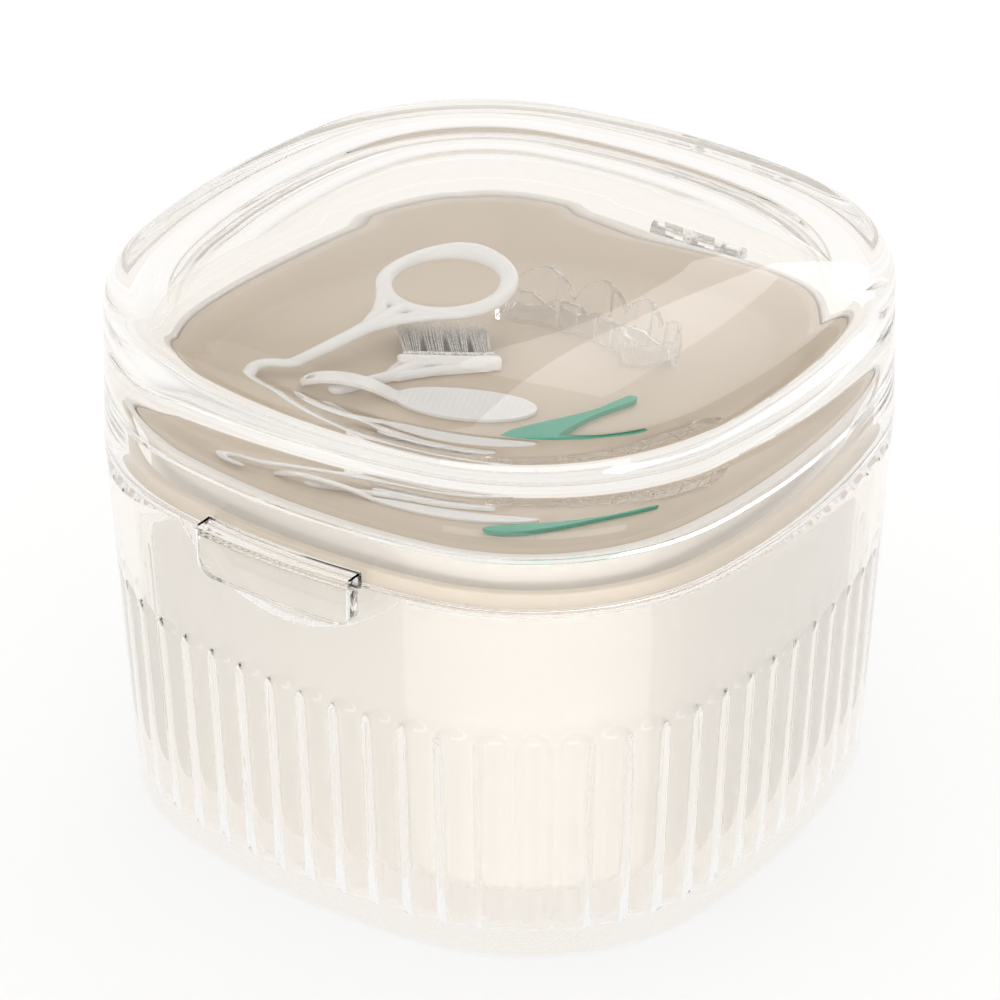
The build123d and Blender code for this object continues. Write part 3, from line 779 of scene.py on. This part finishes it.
tub_tree, tub_in = start_tree("feet and drain holes", [
    "Hole Radius", "Hole Pitch", "Foot Radius", "Foot Spacing", "Foot Height", "Floor Height"],
    ["Hole Count"])
foot_middle = calc(tub_tree, "MULTIPLY_ADD", tub_in["Foot Height"], 0.5, 3.3 * MM)
feet = pegs(tub_tree, grid_of(tub_tree, 2, 2, tub_in["Foot Spacing"], tub_in["Foot Spacing"]),
            48, tub_in["Foot Radius"], tub_in["Foot Height"], foot_middle)
joined = put(tub_tree, "GeometryNodeMeshBoolean", [
    ("Mesh 2", tub_in["Geometry"]), ("Mesh 2", feet)], operation="UNION", solver="EXACT")
holes = pegs(tub_tree, grid_of(tub_tree, tub_in["Hole Count"], tub_in["Hole Count"],
                               tub_in["Hole Pitch"], tub_in["Hole Pitch"]),
             28, tub_in["Hole Radius"], 4.0 * MM, tub_in["Floor Height"])
drained = put(tub_tree, "GeometryNodeMeshBoolean", [
    ("Mesh 1", joined.outputs["Mesh"]), ("Mesh 2", holes)], operation="DIFFERENCE", solver="EXACT")
finish_tree(tub_tree, tub_in, drained.outputs["Mesh"])
run_tree(tub_piece, tub_tree, {
    "Hole Radius": 1.5 * MM, "Hole Pitch": 9.0 * MM, "Hole Count": 7, "Foot Radius": 3.0 * MM,
    "Foot Spacing": 52.0 * MM, "Foot Height": 3.6 * MM, "Floor Height": 7.3 * MM,
    "Finish": tub_finish})
stand_for(tub_piece, "tub", "inner_tub", tub_finish)

# %% [markdown]
# The tray is one thin moulding: a flat brim, a soft edge, sloping sides and a floor that meets
# them in a wide fillet. All of that is its section, so it is skinned from a profile too.

# %% Tray
BRIM_INSET = tub_head_inset + 1.6
TRAY_BOTTOM = 54.8
TRAY_FLOOR = 56.4
TRAY_SLOPE = 43.6
tray_profile = [(MIDDLE, TRAY_BOTTOM, 1.0)]
tray_profile += arc(BRIM_INSET + 6.73, TRAY_BOTTOM + 2.0, 2.0, -90, -TRAY_SLOPE, 5)
tray_profile += [(BRIM_INSET + 3.3, 56.93, 1.0), (BRIM_INSET + 1.6, 58.71, 1.0),
                 (BRIM_INSET + 1.32, 59.0, 1.0)]
tray_profile += arc(BRIM_INSET + 0.4, 59.4, 0.4, -90, 0, 4)
tray_profile += arc(BRIM_INSET + 0.4, 60.2, 0.4, 0, 90, 4)
tray_profile += arc(BRIM_INSET + 1.557, 59.8, 0.8, 90, 180 - TRAY_SLOPE, 6)
tray_profile += [(BRIM_INSET + 3.7, 58.71, 1.0)]
tray_profile += arc(BRIM_INSET + 7.4, TRAY_FLOOR + 3.5, 3.5, -TRAY_SLOPE, -90, 10)
tray_profile += [(20.0, TRAY_FLOOR, 1.0), (MIDDLE, TRAY_FLOOR, 1.0)]
tray_piece = shell("tan_tray", tray_profile, plain_headings)
stand_for(tray_piece, "tray", "top_tray", tray_finish)

# %% [markdown]
# The tools are small soft-edged mouldings. Each is roughed out from simple volumes in its own
# flat frame, fused by a voxel remesh, and smoothed, which rounds every edge and fillets every
# joint at once, as in the real mouldings. Then the finished mesh is turned into its place.

# %% Helpers for the tools
def lying(place, heading, height, tilt=0.0):
    """Matrix of a tool that lies with its length along the heading, in metres."""
    return (Matrix.Translation(Vector((*place, height)) * MM)
            @ Matrix.Rotation(math.radians(heading), 4, "Z")
            @ Matrix.Rotation(math.radians(tilt), 4, "Y"))


def rod(name, path):
    """Round rod along (x, y, z, radius) points, in mm."""
    curve = configure(bpy.data.curves.new(name, "CURVE"), dimensions="3D", bevel_depth=1.0 * MM,
                      bevel_resolution=6, use_fill_caps=True)
    spline = curve.splines.new("POLY")
    spline.points.add(len(path) - 1)
    for point, (x, y, z, radius) in zip(spline.points, path):
        configure(point, co=(x * MM, y * MM, z * MM, 1.0), radius=radius)
    holder = new_piece(name, curve)
    bpy.context.view_layer.update()
    graph = bpy.context.evaluated_depsgraph_get()
    mesh = bpy.data.meshes.new_from_object(holder.evaluated_get(graph))
    bpy.data.objects.remove(holder)
    finish_mesh(mesh)
    return new_piece(name, mesh)


def ball_end(path, steps=5):
    """Adds a rounded end to a rod's path: its last point gets a few shrinking points after it."""
    *last, radius = path[-1]
    along = (Vector(last) - Vector(path[-2][:3])).normalized()
    ends = []
    for step in range(1, steps + 1):
        angle = QUARTER * step / steps
        point = Vector(last) + along * radius * math.sin(angle)
        ends.append((*point, max(radius * math.cos(angle), 0.02)))
    return path + ends


def fuse(name, parts, voxel, rounds, matrix):
    """Fuses closed volumes into one soft-edged skin and turns it into place."""
    mesh = bpy.data.meshes.new(name)
    gather(mesh, parts)
    piece = new_piece(name, mesh)
    configure(piece.modifiers.new("fuse", "REMESH"), mode="VOXEL", voxel_size=voxel * MM)
    configure(piece.modifiers.new("soften", "SMOOTH"), factor=0.5, iterations=rounds)
    bake(piece, 60)
    piece.data.transform(matrix)
    return piece


print("tool helpers ready")

# %% Ring tool
RING_TILT = 8.0
RING_REACH = 42.0
RING_LINE = 8.72
ROD_RADIUS = 1.28
ROD_FLATNESS = 0.78
ring_height = TRAY_FLOOR + 0.3 + RING_REACH * math.sin(math.radians(RING_TILT))
ring_matrix = lying((-16.0, 10.0), 263.0, ring_height, RING_TILT)
hoop_path = [(x, y, ROD_RADIUS, ROD_RADIUS) for x, y in round_points(0, 0, RING_LINE, 0, 360, 96)]
x, y, heading, gone = 8.5, 0.0, 0.0, 0.0
hook_path = [(x, y, ROD_RADIUS, 1.3)]
hook_runs = [(23.5, 0.0, 16), (math.radians(60) * 3.0, -60.0, 10),
             (math.radians(170) * 3.5, 170.0, 30)]
total = sum(run[0] for run in hook_runs)
for length, turn, steps in hook_runs:
    for step in range(steps):
        heading += math.radians(turn) / steps / 2
        x += length / steps * math.cos(heading)
        y += length / steps * math.sin(heading)
        heading += math.radians(turn) / steps / 2
        gone += length / steps
        hook_path.append((x, y, ROD_RADIUS, ROD_RADIUS - 0.35 * (gone / total) ** 1.5))
ring_parts = [rod("hoop", hoop_path), rod("bar", ball_end(hook_path))]
for side in (-1, 1):
    ring_parts.append(rod("web", [(along, side * aside, ROD_RADIUS, 1.1) for along, aside in
                                  ((6.3, 6.1), (9.2, 3.8), (12.2, 1.8), (16.5, 0.3))]))
ring_piece = fuse("ring_tool", ring_parts, 0.2, 5,
                  ring_matrix @ Matrix.Diagonal((1, 1, ROD_FLATNESS, 1)))
stand_for(ring_piece, "tray", "ring_hook_tool", tool_finish)

# %% Brush handle
def soft_box(name, low, high, radius):
    """Box with rounded edges, in mm."""
    mesh = bpy.data.meshes.new(name)
    work = bmesh.new()
    bmesh.ops.create_cube(work, size=1.0)
    for vertex in work.verts:
        vertex.co = Vector([(low[axis] + (vertex.co[axis] + 0.5) * (high[axis] - low[axis])) * MM
                            for axis in range(3)])
    bmesh.ops.bevel(work, geom=work.edges[:], offset=radius * MM, segments=4, profile=0.5,
                    affect="EDGES", clamp_overlap=True)
    work.to_mesh(mesh)
    work.free()
    finish_mesh(mesh)
    return new_piece(name, mesh)


BRUSH_HEIGHT = 3.1
brush_matrix = lying((-5.4, -5.2), 39.0, TRAY_FLOOR)
gusset = [(6.4, -0.4), (5.4, -1.5), (1.5, -2.3), (-2.5, -3.4), (-5.6, -4.9), (-8.1, -6.3),
          (-9.7, -4.1), (-8.9, -2.6), (-8.1, -0.9), (-7.2, 0.4)]
rib_path = [(5.0, -0.9, 1.5, 0.9), (1.0, -1.5, 1.3, 0.9), (-4.0, -3.2, 1.0, 0.9),
            (-8.5, -5.3, 0.7, 0.9)]
neck_path = [(-3.5, -0.4, 1.6, 1.25), (-6.0, -2.2, 1.15, 1.2), (-8.9, -5.1, 0.75, 1.2),
             (-13.0, -8.05, 0.72, 1.25), (-17.0, -11.0, 0.72, 1.25)]
brush_piece = fuse("brush_body", [
    soft_box("head", (-7.4, -1.4, 0.0), (7.4, 0.65, BRUSH_HEIGHT), 0.8),
    prism("gusset", gusset, 0.05, 1.3, lambda x, y, level: (x, y, level)),
    rod("rib", rib_path),
    rod("neck", ball_end(neck_path)),
], 0.17, 4, brush_matrix)
stand_for(brush_piece, "tray", "brush_handle", tool_finish)

# %% [markdown]
# The bristles are eight tufts of thin nylon strands. A node tree makes one tapered strand, sets
# it on a small grid for a tuft, and sets the tuft on a larger grid for the brush. Each strand
# leans away from its tuft's middle and a little at random, which opens the tips as on a brush
# that has been used.

# %% Bristle rule
SWAY = 0.025
tuft_tree, tuft_in = start_tree(
    "tufts", ["Spacing", "Row Spacing", "Pitch", "Length", "Thickness", "Lean"],
    ["Columns", "Rows", "Strands Across", "Strands Up", "Seed"])
tuft = partial(calc, tuft_tree)
strand_grid = grid_of(tuft_tree, tuft_in["Strands Across"], tuft_in["Strands Up"],
                      tuft_in["Pitch"], tuft_in["Pitch"])
stored = put(tuft_tree, "GeometryNodeStoreNamedAttribute", [
    ("Geometry", strand_grid), ("Name", "in tuft"), ("Value", own_place(tuft_tree))],
    data_type="FLOAT_VECTOR", domain="POINT")
tuft_grid = grid_of(tuft_tree, tuft_in["Columns"], tuft_in["Rows"],
                    tuft_in["Spacing"], tuft_in["Row Spacing"])
tufts = put(tuft_tree, "GeometryNodeInstanceOnPoints", [
    ("Points", tuft_grid), ("Instance", stored.outputs[0])])
strand = put(tuft_tree, "GeometryNodeMeshCone", [
    ("Vertices", 6), ("Side Segments", 1), ("Depth", tuft_in["Length"]),
    ("Radius Bottom", tuft_in["Thickness"]),
    ("Radius Top", tuft("MULTIPLY", tuft_in["Thickness"], 0.6))])
in_tuft = split(tuft_tree, measured(tuft_tree, "in tuft", "FLOAT_VECTOR"))
sway = put(tuft_tree, "FunctionNodeRandomValue", [
    (0, (-SWAY, -SWAY, 0.0)), (1, (SWAY, SWAY, 0.0)), ("Seed", tuft_in["Seed"])],
    data_type="FLOAT_VECTOR")
sway = split(tuft_tree, sway.outputs[0])
turn_x = tuft("MULTIPLY", in_tuft["Y"], tuft("MULTIPLY", tuft_in["Lean"], -1.0))
turn_y = tuft("MULTIPLY", in_tuft["X"], tuft_in["Lean"])
leaning = put(tuft_tree, "ShaderNodeCombineXYZ", [
    ("X", tuft("ADD", turn_x, sway["X"])), ("Y", tuft("ADD", turn_y, sway["Y"]))])
turned = put(tuft_tree, "FunctionNodeEulerToRotation", [(0, leaning.outputs[0])])
strands = repeat(tuft_tree, realized(tuft_tree, tufts.outputs[0]), strand,
                 ("Rotation", turned.outputs[0]))
finish_tree(tuft_tree, tuft_in, strands)

# %% Bristles
bristle_piece = new_piece("bristle_tufts", bpy.data.meshes.new("bristle_tufts"))
run_tree(bristle_piece, tuft_tree, {
    "Columns": 4, "Rows": 2, "Spacing": 3.3 * MM, "Row Spacing": 1.5 * MM, "Strands Across": 8,
    "Strands Up": 5, "Pitch": 0.29 * MM, "Length": 11.9 * MM, "Thickness": 0.085 * MM,
    "Lean": 30.0, "Seed": 4, "Finish": bristle_finish})
strand_count = len(bristle_piece.data.polygons)
to_side = Matrix(((1, 0, 0, 0), (0, 0, 1, 1.0 * MM), (0, 1, 0, BRUSH_HEIGHT / 2 * MM),
                  (0, 0, 0, 1)))
bristle_piece.data.transform(brush_matrix @ to_side)
strip = soft_box("strip", (-6.4, 0.6, 0.0), (6.4, 1.4, BRUSH_HEIGHT), 0.15)
strip.data.transform(brush_matrix)
gather(bristle_piece.data, [strip])
for face in bristle_piece.data.polygons[strand_count:]:
    face.material_index = 1
bristle_piece.data.materials.clear()
bristle_piece.data.materials.append(bristle_finish)
bristle_piece.data.materials.append(tool_finish)
finish_mesh(bristle_piece.data, 40)
stand_for(bristle_piece, "tray", "brush_bristles")

# %% [markdown]
# The scoop, the pick and the retainer keep the outline of their CAD solids. A merged copy of
# each solid goes through the same fuse and smooth, which gives them moulded edges.

# %% Scoop, pick and retainer
def remoulded(name, node, voxel, rounds):
    """Soft-edged skin over a CAD node, with the node's loose triangles merged first."""
    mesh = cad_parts[node].data.copy()
    work = bmesh.new()
    work.from_mesh(mesh)
    bmesh.ops.remove_doubles(work, verts=work.verts, dist=1e-6)
    work.to_mesh(mesh)
    work.free()
    return fuse(name, [new_piece("copy", mesh)], voxel, rounds, Matrix.Identity(4))


scoop_piece = remoulded("scoop_tool", "scoop", 0.14, 5)
pick_piece = remoulded("green_pick", "pick", 0.12, 6)
stand_for(pick_piece, "tray", "pick", pick_finish)
retainer_piece = remoulded("clear_retainer", "retainer", 0.2, 6)
stand_for(retainer_piece, "tray", "retainer", retainer_finish)

# %% [markdown]
# The scoop's blade is covered with fine raised dots that grip what it lifts. They repeat on a
# grid, so a node tree makes the grid, keeps the points inside the blade's oval and sets a small
# rounded dot on each.

# %% Dots on the scoop
BLADE_LENGTH = 20.5
BLADE_WIDTH = 11.0
BLADE_MIDDLE = 23.75
BLADE_TOP = 1.08
dot_tree, dot_in = start_tree("dots", ["Length", "Width", "Pitch", "Dot Radius"])
dot = partial(calc, dot_tree)
dot_grid = put(dot_tree, "GeometryNodeMeshGrid", [
    ("Size X", dot_in["Length"]), ("Size Y", dot_in["Width"]),
    ("Vertices X", dot("DIVIDE", dot_in["Length"], dot_in["Pitch"])),
    ("Vertices Y", dot("DIVIDE", dot_in["Width"], dot_in["Pitch"]))])
dot_place = split(dot_tree, own_place(dot_tree))
share_x = dot("DIVIDE", dot_place["X"], dot("MULTIPLY", dot_in["Length"], 0.47))
share_y = dot("DIVIDE", dot_place["Y"], dot("MULTIPLY", dot_in["Width"], 0.44))
reach = dot("ADD", dot("MULTIPLY", share_x, share_x), dot("MULTIPLY", share_y, share_y))
kept = put(dot_tree, "GeometryNodeDeleteGeometry", [
    ("Geometry", dot_grid.outputs["Mesh"]), ("Selection", dot("GREATER_THAN", reach, 1.0))],
    domain="POINT")
dot_shape = put(dot_tree, "GeometryNodeMeshIcoSphere", [
    ("Radius", dot_in["Dot Radius"]), ("Subdivisions", 1)])
finish_tree(dot_tree, dot_in, repeat(dot_tree, kept.outputs[0], dot_shape))
dot_piece = new_piece("dots", bpy.data.meshes.new("dots"))
run_tree(dot_piece, dot_tree, {
    "Length": BLADE_LENGTH * MM, "Width": BLADE_WIDTH * MM, "Pitch": 0.8 * MM,
    "Dot Radius": 0.2 * MM, "Finish": tool_finish}, 60)
dot_piece.data.transform(lying((-17.0, -25.8), 24.0, TRAY_FLOOR)
                         @ Matrix.Translation((BLADE_MIDDLE * MM, 0, BLADE_TOP * MM)))
print("dots", len(dot_piece.data.polygons) // 20)
gather(scoop_piece.data, [dot_piece])
scoop_piece.data.polygons.foreach_set("use_smooth", [True] * len(scoop_piece.data.polygons))
stand_for(scoop_piece, "tray", "scoop", tool_finish)

# %% [markdown]
# The stage is a pale floor under a white world. The floor shows its own white to the camera,
# mixed with a share of its lit surface, so it stays white and still keeps the object's shadow.
# Rays that have passed through clear plastic meet a floor that glows a darker beige, painted
# shade for the floor in the object's shadow under the case, and a room that is white ahead and
# behind and beige to the sides and above. The room is what draws the edges of thick clear
# plastic. Light Path tells the kinds of ray apart.

# %% Floor and world
WHITE = (1.0, 1.0, 1.0)
WARM_WHITE = (1.0, 0.985, 0.965)
FLOOR_HALF = 3
FLOOR_SHARE = 0.72
ROOM_AXIS = (-0.567, 0.824, 0.0)  # level, away from the camera


def seen_directly(tree):
    """Kinds of ray, and 1 for those from the camera or off and through clear plastic."""
    path = put(tree, "ShaderNodeLightPath").outputs
    seen = calc(tree, "MAXIMUM", path["Is Camera Ray"], path["Is Glossy Ray"])
    return path, calc(tree, "MAXIMUM", seen, path["Is Transmission Ray"])


floor_mesh = bpy.data.meshes.new("floor")
floor_corners = ((-1, -1), (1, -1), (1, 1), (-1, 1))
floor_mesh.from_pydata([(x * FLOOR_HALF, y * FLOOR_HALF, 0) for x, y in floor_corners], [],
                       [(0, 1, 2, 3)])
floor = new_piece("floor", floor_mesh)
floor_finish, floor_tree, floor_shader = new_material("pale floor")
feed(floor_tree, floor_shader, [
    ("Base Color", (0.9, 0.9, 0.9, 1.0)), ("Roughness", 0.9), ("Specular IOR Level", 0.0)])
add_bump(floor_tree, floor_shader, 300.0, 0.02, 0.0001)
floor_path, floor_seen = seen_directly(floor_tree)
# Seen through clear plastic the floor glows beige: painted shade for the floor under the case.
floor_glow_with_painted_shade = blend_colours(floor_tree, floor_path["Is Transmission Ray"], WHITE, (0.94, 0.89, 0.83))
floor_glow = put(floor_tree, "ShaderNodeEmission", [("Color", floor_glow_with_painted_shade)])
floor_mix = mix_shaders(floor_tree, calc(floor_tree, "MULTIPLY", floor_seen, FLOOR_SHARE),
                        floor_shader, floor_glow)
feed(floor_tree, floor_tree.nodes["Material Output"], [(0, floor_mix.outputs[0])])
floor_mesh.materials.append(floor_finish)

world = bpy.data.worlds.new("white room")
bpy.context.scene.world = world
world.use_nodes = True
world_tree = world.node_tree
room = world_tree.nodes["Background"]
feed(world_tree, room, [("Color", (*WARM_WHITE, 1.0)), ("Strength", 1.0)])
white = put(world_tree, "ShaderNodeBackground", [("Color", (*WHITE, 1.0))])
along_room = put(world_tree, "ShaderNodeVectorMath", [
    (0, put(world_tree, "ShaderNodeTexCoord").outputs["Generated"]), (1, ROOM_AXIS)],
    operation="DOT_PRODUCT")
panel_edge = put(world_tree, "ShaderNodeMapRange", [
    ("Value", calc(world_tree, "ABSOLUTE", along_room.outputs["Value"])),
    ("From Min", 0.2), ("From Max", 0.8)], interpolation_type="SMOOTHSTEP")
panels = put(world_tree, "ShaderNodeBackground", [("Color", blend_colours(
    world_tree, panel_edge.outputs["Result"], (0.25, 0.225, 0.195), WARM_WHITE))])
world_path, world_seen = seen_directly(world_tree)
world_mix = mix_shaders(world_tree, world_seen, room, panels)
backdrop_mix = mix_shaders(world_tree, world_path["Is Camera Ray"], world_mix, white)
feed(world_tree, world_tree.nodes["World Output"], [(0, backdrop_mix.outputs[0])])
print("floor and world ready")

# %% [markdown]
# Softboxes do the shaping. A large one high on the left is the key light. One hangs flat behind
# the object, where the lid's flat top mirrors it into the camera: it makes the crisp pale patch
# on the lid. Two low ones in front light the white tub through the clear walls of the case.

# %% Softboxes
def softbox(name, place, aim, width, height, energy, colour=WHITE):
    lamp = configure(bpy.data.lights.new(name, "AREA"), shape="RECTANGLE", size=width,
                     size_y=height, energy=energy, color=colour)
    turn = (Vector(place) - Vector(aim)).to_track_quat("Z", "Y").to_euler()
    configure(new_piece(name, lamp), location=place, rotation_euler=turn)


softbox("key softbox", (-0.55, -0.35, 0.75), (0.0, 0.0, 0.04), 0.5, 0.5, 0.6, (1.0, 0.98, 0.95))
softbox("rear softbox", (-0.065, 0.42, 0.45), (-0.065, 0.42, 0.0), 0.24, 0.56, 0.67)
for number, place in ((1, (0.27, -0.84, 0.13)), (2, (0.74, -0.50, 0.13))):
    softbox(f"front softbox {number}", place, (0.0, 0.0, 0.035), 0.6, 0.3, 1.25, (1.0, 0.985, 0.96))

# %% [markdown]
# Light that enters a thick clear rim bounces inside it many times before it leaves. Cycles stops
# a path after a few bounces and paints the rest black, so the limits are raised for this scene.

# %% Light paths and view transform
bpy.context.scene.view_settings.view_transform = "Standard"
configure(bpy.context.scene.cycles, max_bounces=32, glossy_bounces=24, transmission_bounces=32,
          transparent_max_bounces=24)
